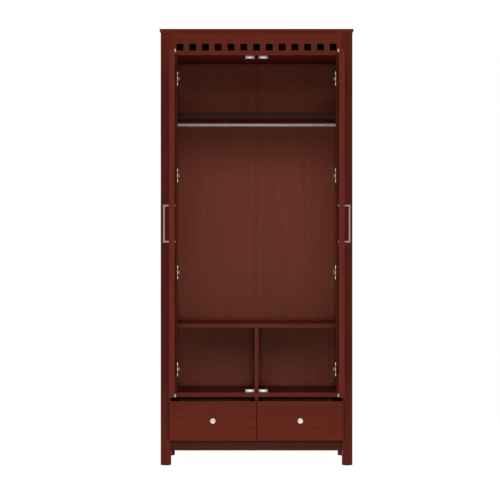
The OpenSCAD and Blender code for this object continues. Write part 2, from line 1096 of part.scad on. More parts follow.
module drawer_bolts() {
    for (side = [-1, 1])
        for (up = [-1, 1])
            translate([drawer_middle_x + side * front_screw_side,
                       drawer_board - front_gap,
                       slide_z + up * drawer_box_height / 4])
                rotate([90, 0, 0])
                    children();
}

module knob_bolt() {
    translate([drawer_middle_x, drawer_board - front_gap, knob_z])
        rotate([90, 0, 0])
            children();
}

// A turned knob: a foot, a waist, and a round head with a shallow dimple
module knob() {
    radius = knob_diameter / 2;
    translate([drawer_middle_x, front_face, knob_z])
        rotate([90, 0, 0])
            difference() {
                rotate_extrude()
                    polygon([
                        [0, 0],
                        [knob_foot, 0],
                        [knob_foot, 1.5],
                        [knob_neck, 4],
                        [knob_neck, knob_reach - 14],
                        [radius - 3, knob_reach - 9],
                        [radius, knob_reach - 6],
                        [radius, knob_reach - 3],
                        [radius - 1.5, knob_reach - 1],
                        [radius - 4, knob_reach],
                        [0, knob_reach]
                    ]);
                translate([0, 0, knob_reach - knob_dimple_depth + knob_dimple_radius])
                    sphere(r = knob_dimple_radius);
                translate([0, 0, -cut])
                    bolt_hole(bolt_grip + cut);
            }
}

module drawer_screws() {
    drawer_bolts()
        bolt(drawer_board + drawer_front_thick - 4);
    knob_bolt()
        bolt(drawer_board + drawer_front_thick + bolt_grip);
}

// ---- Nodes ----

front_posts();
rear_posts();
left_side_panel();
right_side_panel();
top_panel();
header_rail();
ceiling_panel();
hat_shelf();
middle_shelf();
bottom_shelf();
lower_divider();
drawer_partition();
base_panel();
front_apron();
rear_rails();
back_panels();
hanging_rod();
rod_sockets();
hinge_arms();
hinge_plates();
catch_bodies();
catch_magnets();
drawer_rails();
floor_glides();
dowels();
cabinet_screws();
color(stained) left_door() hinge_stile();  // left_hinge_stile
color(stained) left_door() latch_stile();  // left_latch_stile
color(stained) left_door() door_rails();  // left_door_rails
color(stained_warm) left_door() door_panel();  // left_door_panel
color(steel) left_door() hinge_cups();  // left_hinge_cups
color(steel) left_door() hinge_pins();  // left_hinge_pins
color(nickel) left_door() handle();  // left_handle
color(steel) left_door() door_screws();  // left_door_screws
color(plastic) left_door() keepers();  // left_keepers
color(stained) right_door() hinge_stile();  // right_hinge_stile
color(stained) right_door() latch_stile();  // right_latch_stile
color(stained) right_door() door_rails();  // right_door_rails
color(stained_warm) right_door() door_panel();  // right_door_panel
color(steel) right_door() hinge_cups();  // right_hinge_cups
color(steel) right_door() hinge_pins();  // right_hinge_pins
color(nickel) right_door() handle();  // right_handle
color(steel) right_door() door_screws();  // right_door_screws
color(plastic) right_door() keepers();  // right_keepers
color(steel) left_drawer() slide_middles();  // left_slide_middles
color(stained) left_drawer() drawer_front();  // left_drawer_front
color(pale_wood) left_drawer() drawer_sides();  // left_drawer_sides
color(pale_wood) left_drawer() drawer_ends();  // left_drawer_ends
color(pale_wood) left_drawer() drawer_bottom();  // left_drawer_bottom
color(nickel) left_drawer() knob();  // left_knob
color(steel) left_drawer() drawer_screws();  // left_drawer_screws
color(steel) left_drawer() drawer_runners();  // left_drawer_runners
color(steel) right_drawer() slide_middles();  // right_slide_middles
color(stained) right_drawer() drawer_front();  // right_drawer_front
color(pale_wood) right_drawer() drawer_sides();  // right_drawer_sides
color(pale_wood) right_drawer() drawer_ends();  // right_drawer_ends
color(pale_wood) right_drawer() drawer_bottom();  // right_drawer_bottom
color(nickel) right_drawer() knob();  // right_knob
color(steel) right_drawer() drawer_screws();  // right_drawer_screws
color(steel) right_drawer() drawer_runners();  // right_drawer_runners
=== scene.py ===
# %% [markdown]
# # A two-door armoire
#
# The armoire stands with both doors open at right angles. Its boards, hinges, catches and
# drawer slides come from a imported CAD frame, and they keep their exact shape. This lesson gives
# them eased edges and finishes, and adds the small turned and pressed pieces that a plain solid
# doesn't show.

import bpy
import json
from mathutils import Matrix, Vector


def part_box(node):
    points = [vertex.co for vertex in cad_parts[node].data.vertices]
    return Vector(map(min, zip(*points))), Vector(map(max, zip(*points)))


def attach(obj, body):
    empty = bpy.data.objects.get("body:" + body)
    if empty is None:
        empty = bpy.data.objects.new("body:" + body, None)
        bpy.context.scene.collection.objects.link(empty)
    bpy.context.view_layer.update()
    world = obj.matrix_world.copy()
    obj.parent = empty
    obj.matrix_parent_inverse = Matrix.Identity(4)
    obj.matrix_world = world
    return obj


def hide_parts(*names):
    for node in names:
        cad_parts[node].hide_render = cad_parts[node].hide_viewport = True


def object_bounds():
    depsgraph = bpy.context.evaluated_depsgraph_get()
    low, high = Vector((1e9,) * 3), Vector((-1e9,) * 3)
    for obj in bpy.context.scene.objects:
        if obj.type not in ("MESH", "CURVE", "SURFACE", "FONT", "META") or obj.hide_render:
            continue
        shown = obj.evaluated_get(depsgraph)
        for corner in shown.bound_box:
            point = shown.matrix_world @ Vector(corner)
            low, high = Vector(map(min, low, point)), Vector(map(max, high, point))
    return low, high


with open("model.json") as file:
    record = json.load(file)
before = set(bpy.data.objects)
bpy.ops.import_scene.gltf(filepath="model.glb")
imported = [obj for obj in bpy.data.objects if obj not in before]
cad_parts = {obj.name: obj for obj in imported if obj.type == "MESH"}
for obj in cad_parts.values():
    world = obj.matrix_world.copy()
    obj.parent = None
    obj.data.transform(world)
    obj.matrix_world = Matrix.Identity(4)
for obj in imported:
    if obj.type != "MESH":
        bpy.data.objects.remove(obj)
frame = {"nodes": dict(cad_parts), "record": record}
cad_box = [list(corner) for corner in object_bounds()]

import json
import math
import random

import bmesh
import bpy
from mathutils import Matrix, Vector

NODES = frame["nodes"]
SLOTS = {part["node"]: part["material_slot"] for part in frame["record"]["subparts"]}
BODIES = frame["record"]["behaviour"]["bodies"]
BODY_OF = {node: body for body, members in BODIES.items() for node in members}
low, high = Vector(cad_box[0]), Vector(cad_box[1])
print("frame:", len(NODES), "nodes, box", [round(v, 3) for v in high - low])

# %% [markdown]
# ## Camera
#
# A wardrobe looks tall and square when the lens stands well back and level, at about half its
# height. A long lens at ten metres keeps the posts upright and shows a little of the inner sides.
# The camera points straight along +Y, so no vertical line leans.

# %% Make the camera
LENS_MM = 154.9
SENSOR_MM = 36.0
CAMERA_DISTANCE = 9.85
CAMERA_HEIGHT = 0.988
CAMERA_SIDE = -0.030

front_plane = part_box("front_posts")[0].y
camera_data = bpy.data.cameras.new("camera")
camera_data.lens = LENS_MM
camera_data.sensor_width = SENSOR_MM
camera_data.clip_end = 100.0
camera = bpy.data.objects.new("camera", camera_data)
camera.location = (CAMERA_SIDE, front_plane - CAMERA_DISTANCE, CAMERA_HEIGHT)
camera.rotation_euler = (math.radians(90), 0, 0)
bpy.context.scene.collection.objects.link(camera)
bpy.context.scene.camera = camera
print("camera at", [round(v, 3) for v in camera.location])

# %% [markdown]
# ## Node tree helpers
#
# Every finish below is a small tree of shader nodes. A few short helpers keep the trees readable:
# one adds a node and sets its sockets, and one joins two sockets. A shared effect is a node
# group, with its own named inputs and outputs, made once and placed wherever it is needed.

# %% Helpers for node trees
def add_node(tree, kind, **inputs):
    """A new node. A keyword sets the input of that name, with _ for a space."""
    node = tree.nodes.new(kind)
    for name, value in inputs.items():
        node.inputs[name.replace("_", " ")].default_value = value
    return node


def join(tree, source, target):
    tree.links.new(source, target)


def new_group(name, inputs, outputs):
    """A shader node group with named sockets. Each input is (name, type, default)."""
    group = bpy.data.node_groups.new(name, "ShaderNodeTree")
    for title, kind, default in inputs:
        socket = group.interface.new_socket(name=title, in_out="INPUT", socket_type=kind)
        if default is not None:
            socket.default_value = default
    for title, kind in outputs:
        group.interface.new_socket(name=title, in_out="OUTPUT", socket_type=kind)
    return group, group.nodes.new("NodeGroupInput"), group.nodes.new("NodeGroupOutput")


def math_node(tree, operation, first, second):
    """A Math node. Each operand is a socket or a number."""
    node = tree.nodes.new("ShaderNodeMath")
    node.operation = operation
    for index, value in enumerate((first, second)):
        if isinstance(value, (int, float)):
            node.inputs[index].default_value = value
        else:
            join(tree, value, node.inputs[index])
    return node.outputs[0]


def map_range(tree, value, from_low, from_high, to_low=0.0, to_high=1.0):
    """A soft step from one number to another while a value crosses a range."""
    node = tree.nodes.new("ShaderNodeMapRange")
    node.interpolation_type = "SMOOTHSTEP"
    join(tree, value, node.inputs["Value"])
    node.inputs["From Min"].default_value = from_low
    node.inputs["From Max"].default_value = from_high
    node.inputs["To Min"].default_value = to_low
    node.inputs["To Max"].default_value = to_high
    return node.outputs["Result"]


def mix_colour(tree, factor, first, second):
    """A colour mix. Factor, first and second are sockets or plain values."""
    node = tree.nodes.new("ShaderNodeMix")
    node.data_type = "RGBA"
    for index, value in ((0, factor), (6, first), (7, second)):
        if isinstance(value, bpy.types.NodeSocket):
            join(tree, value, node.inputs[index])
        elif index == 0:
            node.inputs[index].default_value = value
        else:
            node.inputs[index].default_value = (*value, 1.0)
    return node.outputs[2]


def multiply_vector(tree, source, factors):
    node = tree.nodes.new("ShaderNodeVectorMath")
    node.operation = "MULTIPLY"
    join(tree, source, node.inputs[0])
    node.inputs[1].default_value = factors
    return node.outputs[0]


def noise(tree, vector, scale, detail, roughness):
    node = add_node(tree, "ShaderNodeTexNoise", Scale=scale, Detail=detail, Roughness=roughness)
    join(tree, vector, node.inputs["Vector"])
    return node.outputs["Fac"]


print("helpers ready")

# %% [markdown]
# ## Wood grain as a group
#
# Sawn wood shows three things at three sizes: the growth rings, a centimetre or two apart, then
# fine fibres a millimetre or less apart, and short dark pores. All of them are long along
# the grain and short across it, so the group takes coordinates whose Z runs along the grain and
# squeezes Z before each noise. The rings are the distance from the tree's heart, which lies
# beside the board, bent by a slow noise. A board sawn near the heart shows arches, and one
# sawn far from it shows straight lines.

# %% Build the grain group
def build_grain_group():
    group, start, end = new_group(
        "wood_grain",
        [
            ("Vector", "NodeSocketVector", None),
            ("Heart", "NodeSocketVector", None),
            ("Rings Per Metre", "NodeSocketFloat", 70.0),
        ],
        [
            ("Rings", "NodeSocketFloat"),
            ("Fibre", "NodeSocketFloat"),
            ("Pores", "NodeSocketFloat"),
            ("Height", "NodeSocketFloat"),
        ],
    )
    vector = start.outputs["Vector"]
    from_heart = group.nodes.new("ShaderNodeVectorMath")
    from_heart.operation = "SUBTRACT"
    join(group, vector, from_heart.inputs[0])
    join(group, start.outputs["Heart"], from_heart.inputs[1])
    radius = group.nodes.new("ShaderNodeVectorMath")
    radius.operation = "LENGTH"
    join(group, multiply_vector(group, from_heart.outputs[0], (1, 1, 0.05)), radius.inputs[0])
    bend = noise(group, multiply_vector(group, vector, (1, 1, 0.16)), 5.0, 2.0, 0.5)
    count = math_node(group, "MULTIPLY", radius.outputs["Value"], start.outputs["Rings Per Metre"])
    turns = math_node(group, "ADD", count, math_node(group, "MULTIPLY", bend, 5.0))
    saw = math_node(group, "FRACT", turns, 0.0)
    late = map_range(group, saw, 0.35, 0.92)
    early = map_range(group, saw, 0.93, 1.0, 1.0, 0.0)
    rings = math_node(group, "MULTIPLY", late, early)
    fibre = noise(group, multiply_vector(group, vector, (1, 1, 0.018)), 520.0, 4.0, 0.6)
    streak = noise(group, multiply_vector(group, vector, (1, 1, 0.012)), 95.0, 3.0, 0.55)
    mixed = math_node(group, "ADD", math_node(group, "MULTIPLY", fibre, 0.6),
                      math_node(group, "MULTIPLY", streak, 0.4))
    speck = noise(group, multiply_vector(group, vector, (1, 1, 0.035)), 1150.0, 1.0, 0.5)
    pores = map_range(group, speck, 0.62, 0.70)
    height = math_node(group, "SUBTRACT", math_node(group, "MULTIPLY", mixed, 0.6), pores)
    join(group, rings, end.inputs["Rings"])
    join(group, mixed, end.inputs["Fibre"])
    join(group, pores, end.inputs["Pores"])
    join(group, height, end.inputs["Height"])
    return group


GRAIN = build_grain_group()
print("group:", GRAIN.name, [s.name for s in GRAIN.interface.items_tree])

# %% [markdown]
# ## Edge wear and painted edge shade as a group
#
# An arris never matches the flat of its board. On stained wood the colour gathers there, and the
# arris is also painted darker as shade, since an edge turned from the light reads dark; on bare
# wood handling leaves it a little paler. The Bevel node rounds the normal near an edge, and where
# the rounded normal turns away from the true one there is an edge. A noise breaks the line up, so
# that the wear and the shade come and go. The group gives only the mask, and each wood brings its
# own colour for it.

# %% Build the edge group
ARRIS = 0.0015


def build_edge_wear_and_shade_group():
    group, start, end = new_group(
        "edge_wear_and_shade",
        [
            ("Vector", "NodeSocketVector", None),
            ("Radius", "NodeSocketFloat", ARRIS),
            ("Patch Scale", "NodeSocketFloat", 22.0),
        ],
        [("Mask", "NodeSocketFloat")],
    )
    rounded = group.nodes.new("ShaderNodeBevel")
    rounded.samples = 4
    join(group, start.outputs["Radius"], rounded.inputs["Radius"])
    geometry = group.nodes.new("ShaderNodeNewGeometry")
    dot = group.nodes.new("ShaderNodeVectorMath")
    dot.operation = "DOT_PRODUCT"
    join(group, rounded.outputs[0], dot.inputs[0])
    join(group, geometry.outputs["Normal"], dot.inputs[1])
    turn = math_node(group, "SUBTRACT", 1.0, dot.outputs["Value"])
    edge = map_range(group, turn, 0.02, 0.22)
    patch_scale = group.nodes.new("ShaderNodeVectorMath")
    patch_scale.operation = "SCALE"
    join(group, start.outputs["Vector"], patch_scale.inputs[0])
    join(group, start.outputs["Patch Scale"], patch_scale.inputs["Scale"])
    patch = map_range(group, noise(group, patch_scale.outputs[0], 1.0, 3.0, 0.6), 0.35, 0.65)
    join(group, math_node(group, "MULTIPLY", edge, patch), end.inputs["Mask"])
    return group


EDGE_WEAR_AND_SHADE = build_edge_wear_and_shade_group()
print("group:", EDGE_WEAR_AND_SHADE.name)

# %% [markdown]
# ## Painted corner shade as a group
#
# Inside corners, where two boards meet, get less light, and this group paints that shade into
# the colour. The Ambient Occlusion node measures how closed in a point is within a few
# centimetres. Turned round, that is a mask of the inside corners, which stays the same from every
# side.

# %% Build the corner group
def build_corner_shade_group():
    group, start, end = new_group(
        "painted_corner_shade",
        [("Distance", "NodeSocketFloat", 0.04), ("Depth", "NodeSocketFloat", 0.7)],
        [("Mask", "NodeSocketFloat")],
    )
    open_sky = group.nodes.new("ShaderNodeAmbientOcclusion")
    open_sky.samples = 6
    join(group, start.outputs["Distance"], open_sky.inputs["Distance"])
    closed = map_range(group, open_sky.outputs["AO"], 0.25, 0.80, 1.0, 0.0)
    join(group, math_node(group, "MULTIPLY", closed, start.outputs["Depth"]), end.inputs["Mask"])
    return group


PAINTED_CORNER_SHADE = build_corner_shade_group()
print("group:", PAINTED_CORNER_SHADE.name)

# %% [markdown]
# ## Stained and lacquered wood
#
# The cabinet is stained a deep cherry brown under satin lacquer. The stain is darkest in the
# pores and between the rings, and the lacquer fills most of the pores, so the relief is
# very shallow. The back is stained more lightly, and the drawer boxes and dowels are bare pale
# wood. The grain runs along each board, so one function turns the coordinates until the
# board's long axis becomes the group's Z. A shift per board keeps two boards from showing the
# same figure.

# %% Stained wood materials
GRAIN_TURNS = {
    "Z": (0.0, 0.0, 0.0),
    "X": (0.0, -math.pi / 2, 0.0),
    "Y": (math.pi / 2, 0.0, 0.0),
}


def srgb(red, green, blue):
    """A colour as the screen shows it, 0 to 255, as the linear values that shaders use."""
    def linear(value):
        value /= 255.0
        return value / 12.92 if value <= 0.04045 else ((value + 0.055) / 1.055) ** 2.4
    return (linear(red), linear(green), linear(blue))


def grain_vector(tree, axis, shift):
    coordinates = tree.nodes.new("ShaderNodeTexCoord")
    mapping = tree.nodes.new("ShaderNodeMapping")
    mapping.inputs["Rotation"].default_value = GRAIN_TURNS[axis]
    mapping.inputs["Location"].default_value = shift
    join(tree, coordinates.outputs["Object"], mapping.inputs["Vector"])
    return mapping.outputs["Vector"]


def new_material(name):
    material = bpy.data.materials.new(name)
    material.use_nodes = True
    tree = material.node_tree
    tree.nodes.clear()
    shader = tree.nodes.new("ShaderNodeBsdfPrincipled")
    output = tree.nodes.new("ShaderNodeOutputMaterial")
    join(tree, shader.outputs["BSDF"], output.inputs["Surface"])
    return material, tree, shader


def use_group(tree, group, **inputs):
    node = tree.nodes.new("ShaderNodeGroup")
    node.node_tree = group
    for name, value in inputs.items():
        node.inputs[name.replace("_", " ")].default_value = value
    return node


def relief(tree, shader, height, strength, distance):
    bump = add_node(tree, "ShaderNodeBump", Strength=strength, Distance=distance)
    join(tree, height, bump.inputs["Height"])
    join(tree, bump.outputs["Normal"], shader.inputs["Normal"])


# Arris colour on stained wood: stain gathered on the edge, and painted shade where the edge turns from
# the light.
ARRIS_STAIN_AND_SHADE = srgb(58, 20, 12)
WORN_PALE = srgb(228, 204, 164)
FIBRE_CONTRAST = 0.20
RING_STRENGTH = 0.26
RING_DARK = 0.62
PORE_STRENGTH = 0.5
PORE_DARK = 0.35
# How dark the painted corner shade gets, as a share of the board's colour.
CORNER_SHADE_DARKNESS = 0.12


def darker(colour, share):
    return tuple(value * share for value in colour)


def wood_material(name, axis, board_colour, rng, arris_wear_and_shade_colour=ARRIS_STAIN_AND_SHADE, rings=70.0, gloss=0.50,
                  figure=1.0, edge=0.35, arris=ARRIS):
    """Wood with its grain along an axis. Each board has its own heart and its own noise."""
    material, tree, shader = new_material(name)
    shift = [rng.uniform(-9, 9) for _ in range(3)]
    vector = grain_vector(tree, axis, shift)
    angle = rng.uniform(0, 2 * math.pi)
    reach = rng.uniform(0.25, 0.7)
    grain = use_group(tree, GRAIN, Rings_Per_Metre=rings)
    grain.inputs["Heart"].default_value = (
        shift[0] + reach * math.cos(angle), shift[1] + reach * math.sin(angle), shift[2],
    )
    join(tree, vector, grain.inputs["Vector"])
    arris_wear_and_shade_node = use_group(tree, EDGE_WEAR_AND_SHADE, Radius=arris)
    join(tree, vector, arris_wear_and_shade_node.inputs["Vector"])
    dark = darker(board_colour, 1 - FIBRE_CONTRAST * figure)
    light = tuple(min(value * (1 + FIBRE_CONTRAST * figure), 1.0) for value in board_colour)
    body = mix_colour(tree, map_range(tree, grain.outputs["Fibre"], 0.30, 0.70), dark, light)
    ring_mask = math_node(tree, "MULTIPLY", grain.outputs["Rings"], RING_STRENGTH * figure)
    ringed = mix_colour(tree, ring_mask, body, darker(board_colour, RING_DARK))
    cloud = noise(tree, vector, 2.6, 2.0, 0.5)
    tinted = mix_colour(tree, map_range(tree, cloud, 0.3, 0.7, 0.0, 0.25), ringed, light)
    pore_mask = math_node(tree, "MULTIPLY", grain.outputs["Pores"], PORE_STRENGTH)
    pored = mix_colour(tree, pore_mask, tinted, darker(board_colour, PORE_DARK))
    # The arris mask darkens stained boards, partly as gathered stain and partly as painted shade, and
    # lightens bare wood as wear.
    arris_wear_and_shade_mask = math_node(tree, "MULTIPLY", arris_wear_and_shade_node.outputs["Mask"], edge)
    arris_worn_and_shaded = mix_colour(tree, arris_wear_and_shade_mask, pored, arris_wear_and_shade_colour)
    # Painted shade: the colour darkens in inside corners, where light is blocked.
    corner = use_group(tree, PAINTED_CORNER_SHADE, Distance=0.045, Depth=0.75)
    corner_shaded = mix_colour(tree, corner.outputs["Mask"], arris_worn_and_shaded, darker(board_colour, CORNER_SHADE_DARKNESS))
    join(tree, corner_shaded, shader.inputs["Base Color"])
    rough = map_range(tree, grain.outputs["Fibre"], 0.3, 0.7, gloss + 0.05, gloss - 0.05)
    join(tree, rough, shader.inputs["Roughness"])
    shader.inputs["Specular IOR Level"].default_value = 0.10
    relief(tree, shader, grain.outputs["Height"], 0.18, 0.00012)
    return material


# %% Stain each wooden node
STAIN = {
    "post_wood": srgb(100, 32, 14),
    "side_wood": srgb(108, 36, 18),
    "top_wood": srgb(110, 36, 17),
    "front_wood": srgb(110, 37, 17),
    "door_wood": srgb(110, 37, 22),
    "door_panel_wood": srgb(110, 37, 22),
    "shelf_wood": srgb(112, 42, 28),
    "inside_wood": srgb(100, 36, 22),
    "back_wood": srgb(146, 72, 51),
    "drawer_wood": srgb(210, 174, 126),
    "dowel_wood": srgb(214, 182, 136),
}
# Two boards carry painted light: the apron is darkened as painted shade under the proud drawer
# fronts, and the ceiling panel is lightened as painted light on its shaded underside.
PAINTED_LIGHT_SCALE = {"front_apron": 0.62, "ceiling_panel": 1.5}
# What each of these woods has that a plain stained board hasn't.
CHARACTER = {
    # The posts' wide, strong arris darkening is mostly painted shade, a dark outline along their
    # edges.
    "post_wood": {"edge": 0.95, "arris": 0.006},
    "back_wood": {"rings": 45.0, "figure": 0.6},
    "drawer_wood": {"arris_wear_and_shade_colour": WORN_PALE, "gloss": 0.58},
    "dowel_wood": {"arris_wear_and_shade_colour": WORN_PALE, "gloss": 0.58},
}
ACROSS = {
    "top_panel", "header_rail", "ceiling_panel", "hat_shelf", "middle_shelf", "bottom_shelf",
    "base_panel", "front_apron", "rear_rails", "dowels",
}


def grain_axis(node):
    """Boards across the cabinet run along X, an open door's rails and a drawer's sides along Y."""
    if node in ACROSS or node.endswith(("drawer_front", "drawer_ends", "drawer_bottom")):
        return "X"
    if node.endswith(("door_rails", "drawer_sides")):
        return "Y"
    return "Z"


def stain_node(node, seed):
    """Gives one wooden CAD node its own board of stained wood."""
    slot = SLOTS[node]
    # For the apron and the ceiling panel, this scale paints shade and light into the board's colour.
    board_colour = tuple(value * PAINTED_LIGHT_SCALE.get(node, 1.0) for value in STAIN[slot])
    NODES[node].material_slots[0].material = wood_material(
        f"{slot}_{node}", grain_axis(node), board_colour, random.Random(seed), **CHARACTER.get(slot, {}))


FIRST_SEED = 100
wooden = [node for node in NODES if SLOTS[node] in STAIN]
for number, node in enumerate(sorted(wooden)):
    stain_node(node, FIRST_SEED + number)
print("stained", len(wooden), "wooden nodes")

# %% [markdown]
# ## Metals
#
# The handles are a dark satin nickel, the knobs a pale one, and the rod is brushed steel between
# the two. The hinge cups, rod sockets and screws are bright. The hinge arms and plates are the
# same steel made darker as painted shade, because they lie in shadow, and the slides are
# zinc-plated sheet with a faint cloudy bloom. Brushing is a noise stretched along the stroke. It
# moves the tone, the roughness and a very low relief. A table holds what differs from one metal
# to the next.

# %% Brushing group and metal materials
def build_brush_group():
    group, start, end = new_group(
        "brushing",
        [("Vector", "NodeSocketVector", None), ("Fineness", "NodeSocketFloat", 2400.0)],
        [("Stroke", "NodeSocketFloat"), ("Cloud", "NodeSocketFloat")],
    )
    stretched = multiply_vector(group, start.outputs["Vector"], (1, 1, 0.01))
    stroke = add_node(group, "ShaderNodeTexNoise", Detail=3.0, Roughness=0.6)
    join(group, stretched, stroke.inputs["Vector"])
    join(group, start.outputs["Fineness"], stroke.inputs["Scale"])
    join(group, stroke.outputs["Fac"], end.inputs["Stroke"])
    cloud = noise(group, start.outputs["Vector"], 60.0, 3.0, 0.6)
    join(group, cloud, end.inputs["Cloud"])
    return group


BRUSH = build_brush_group()


BRUSH_DEPTH = 0.00001


def metal_material(name, axis, dull, bright, rough, fineness):
    material, tree, shader = new_material(name)
    vector = grain_vector(tree, axis, (0.0, 0.0, 0.0))
    brush = use_group(tree, BRUSH, Fineness=fineness)
    join(tree, vector, brush.inputs["Vector"])
    tone = math_node(tree, "ADD", math_node(tree, "MULTIPLY", brush.outputs["Stroke"], 0.6),
                     math_node(tree, "MULTIPLY", brush.outputs["Cloud"], 0.4))
    join(tree, mix_colour(tree, map_range(tree, tone, 0.3, 0.7), srgb(*dull), srgb(*bright)),
         shader.inputs["Base Color"])
    join(tree, map_range(tree, brush.outputs["Stroke"], 0.3, 0.7, *rough),
         shader.inputs["Roughness"])
    shader.inputs["Metallic"].default_value = 1.0
    relief(tree, shader, brush.outputs["Stroke"], 0.25, BRUSH_DEPTH)
    return material


# The axis of the strokes, the dull and the bright tone, the roughness range, and how fine it is.
METAL_LOOKS = {
    "rod_steel": ("X", (176, 164, 158), (202, 190, 184), (0.48, 0.58), 2400.0),
    "handle_nickel": ("Z", (114, 98, 92), (136, 119, 112), (0.36, 0.50), 2400.0),
    "knob_nickel": ("Y", (196, 178, 166), (222, 206, 194), (0.30, 0.42), 2400.0),
    "bright_steel": ("Z", (228, 226, 222), (246, 244, 240), (0.34, 0.46), 900.0),
    # Painted shade: the hinge arms and plates share the cups' bright steel, made darker because they
    # lie in shadow.
    "hinge_arm_shaded_steel": ("Y", (96, 94, 91), (122, 120, 116), (0.34, 0.48), 900.0),
    "slide_steel": ("Y", (168, 170, 172), (200, 202, 204), (0.30, 0.46), 700.0),
    "screw_steel": ("Z", (184, 184, 182), (218, 218, 214), (0.22, 0.38), 1500.0),
    "magnet_steel": ("X", (196, 194, 190), (222, 220, 216), (0.34, 0.48), 1200.0),
}
METALS = {name: metal_material(name, *look) for name, look in METAL_LOOKS.items()}
print("metals:", ", ".join(sorted(METALS)))

# %% [markdown]
# ## Plastics
#
# The catches, keepers and glides are moulded plastic. Moulded plastic has a very fine spark
# texture from the tool, a little unevenness in its gloss, and a soft glow from inside, which a
# small subsurface weight gives.

# %% Plastic materials
def plastic_material(name, shade, tint, rough):
    material, tree, shader = new_material(name)
    vector = grain_vector(tree, "Z", (0.0, 0.0, 0.0))
    cloud = noise(tree, vector, 38.0, 3.0, 0.6)
    join(tree, mix_colour(tree, map_range(tree, cloud, 0.3, 0.7), shade, tint),
         shader.inputs["Base Color"])
    spark = noise(tree, vector, 2600.0, 2.0, 0.6)
    join(tree, map_range(tree, spark, 0.3, 0.7, rough - 0.06, rough + 0.06),
         shader.inputs["Roughness"])
    shader.inputs["Subsurface Weight"].default_value = 0.06
    shader.inputs["Subsurface Scale"].default_value = 0.002
    relief(tree, shader, spark, 0.2, 0.00002)
    return material


PLASTICS = {
    "catch_plastic": plastic_material("catch_plastic", srgb(206, 204, 198), srgb(226, 224, 218), 0.42),
    "glide_nylon": plastic_material("glide_nylon", srgb(214, 210, 198), srgb(232, 228, 216), 0.50),
}
for node, piece in NODES.items():
    finish = METALS.get(SLOTS[node]) or PLASTICS.get(SLOTS[node])
    # Painted shade: the arms and plates take a darker copy of the cups' steel.
    if node in ("hinge_arms", "hinge_plates"):  # duller than the cups that share their slot
        finish = METALS["hinge_arm_shaded_steel"]
    if finish:
        piece.material_slots[0].material = finish
print("plastics:", ", ".join(sorted(PLASTICS)))

# %% [markdown]
# ## Eased edges
#
# No board leaves a workshop with a razor edge: the arrises are sanded to about a millimetre, and
# that thin rounded strip catches the light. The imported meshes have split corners, so a Weld
# modifier closes them first. A Bevel modifier then rounds only the sharp edges. The mesh
# itself isn't touched.

# %% Ease the edges of the CAD nodes
EASE_MM = {
    "post_wood": 1.4, "side_wood": 0.6, "top_wood": 1.0, "front_wood": 1.0, "door_wood": 1.0,
    "door_panel_wood": 0.3, "shelf_wood": 1.0, "inside_wood": 0.8, "back_wood": 0.3,
    "drawer_wood": 0.8, "bright_steel": 0.25, "handle_nickel": 0.8, "catch_plastic": 0.6,
    "slide_steel": 0.2, "glide_nylon": 0.6, "magnet_steel": 0.15,
}


WELD_GAP = 0.00002
ROUNDED_FROM_DEGREES = 40


def ease_edges(piece, radius_mm):
    weld = piece.modifiers.new("weld", "WELD")
    weld.merge_threshold = WELD_GAP
    bevel = piece.modifiers.new("ease", "BEVEL")
    bevel.width = radius_mm / 1000
    bevel.segments = 2
    bevel.limit_method = "ANGLE"
    bevel.angle_limit = math.radians(ROUNDED_FROM_DEGREES)
    bevel.use_clamp_overlap = False
    bevel.harden_normals = True


eased = 0
for node, piece in NODES.items():
    if SLOTS[node] in EASE_MM:
        ease_edges(piece, EASE_MM[SLOTS[node]])
        eased += 1
print("eased", eased, "nodes")

# %% [markdown]
# ## Loose parts of a CAD node
#
# Identical fasteners share one CAD node, as a group of separate solids. To dress each of
# them, the script has to know where each one is. Walking along the edges of a welded copy of the
# mesh collects one solid at a time. The CAD mesh is only read here, never changed.

# %% Find the separate solids in a node
def loose_parts(node):
    """A list of the node's solids, each as a list of its points."""
    copy = bmesh.new()
    copy.from_mesh(NODES[node].data)
    bmesh.ops.remove_doubles(copy, verts=copy.verts, dist=0.00001)
    found, parts = set(), []
    for start in copy.verts:
        if start in found:
            continue
        found.add(start)
        waiting, points = [start], []
        while waiting:
            vert = waiting.pop()
            points.append(vert.co.copy())
            for edge in vert.link_edges:
                other = edge.other_vert(vert)
                if other not in found:
                    found.add(other)
                    waiting.append(other)
        parts.append(points)
    copy.free()
    return parts


def box_of(points):
    """The lowest and the highest corner of some points."""
    return (Vector([min(point[axis] for point in points) for axis in range(3)]),
            Vector([max(point[axis] for point in points) for axis in range(3)]))


def add_piece(name, mesh, node, material, replaced=()):
    """A new piece that rides with the body of a CAD node and takes the given material."""
    piece = bpy.data.objects.new(name, mesh)
    bpy.context.scene.collection.objects.link(piece)
    mesh.materials.clear()
    mesh.materials.append(material)
    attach(piece, BODY_OF[node])
    if replaced:
        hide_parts(*replaced)


print("solids in cabinet_screws:", len(loose_parts("cabinet_screws")))

# %% [markdown]
# ## Turned shapes
#
# A screw and a knob can both be made on a lathe: one outline turned round an axis. The helper
# takes that outline as distances from the axis and heights along it, from the top down,
# and joins each ring to the next. Edges sharper than a limit stay crisp, and the rest are
# shaded smooth.

# %% Turn an outline on a lathe
CRISP_DEGREES = 35


